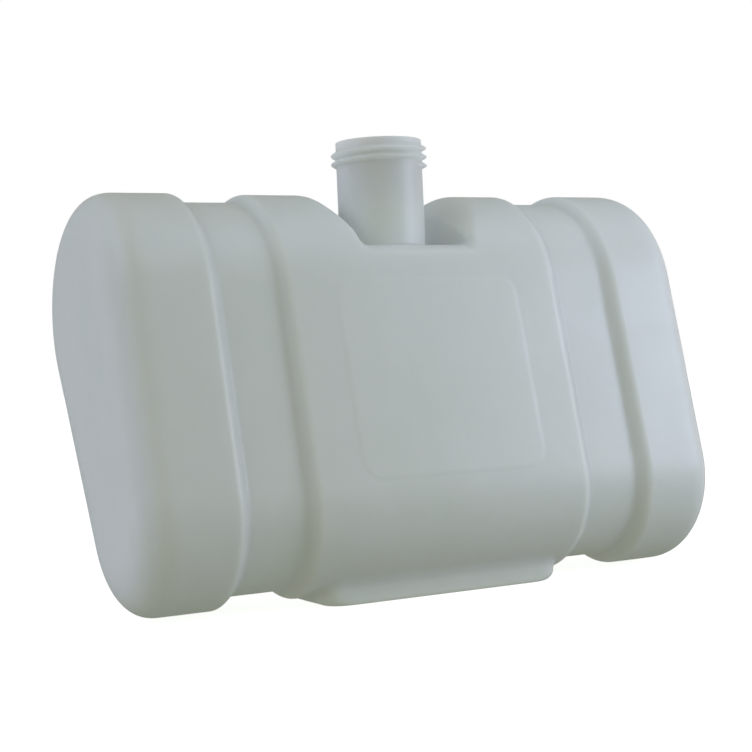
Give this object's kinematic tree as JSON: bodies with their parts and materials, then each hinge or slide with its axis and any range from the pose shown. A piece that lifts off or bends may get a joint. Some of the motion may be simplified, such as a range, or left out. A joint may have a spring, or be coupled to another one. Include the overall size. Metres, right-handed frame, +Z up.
{
  "type": "expansion vessel",
  "caption": "Open expansion vessel: leaning blow-moulded tank with a threaded filler neck in a saddle, two strap grooves, a foot pad and two barbed hose connectors at the back.",
  "frame": {"origin": "centre of the foot pad's underside, the flat face that the vessel stands on", "axes": "+Z up along the neck, +X along the tank, -Y towards the front with the label panel, which leans back"},
  "size_m": [0.2924, 0.1551, 0.2098],
  "materials": {
    "natural_plastic": "satin, milky and slightly translucent natural polyethylene",
    "brass": "turned brass, slightly dulled",
    "black_rubber": "matt EPDM",
    "white_nylon": "matt moulded nylon"
  },
  "bodies": {
    "root": {"vessel_body": "natural_plastic", "outlet_hose_connector": "brass", "outlet_inner_seal": "black_rubber", "outlet_outer_washer": "white_nylon", "outlet_back_nut": "brass", "return_hose_connector": "brass", "return_inner_seal": "black_rubber", "return_outer_washer": "white_nylon", "return_back_nut": "brass"}
  },
  "joints": []
}
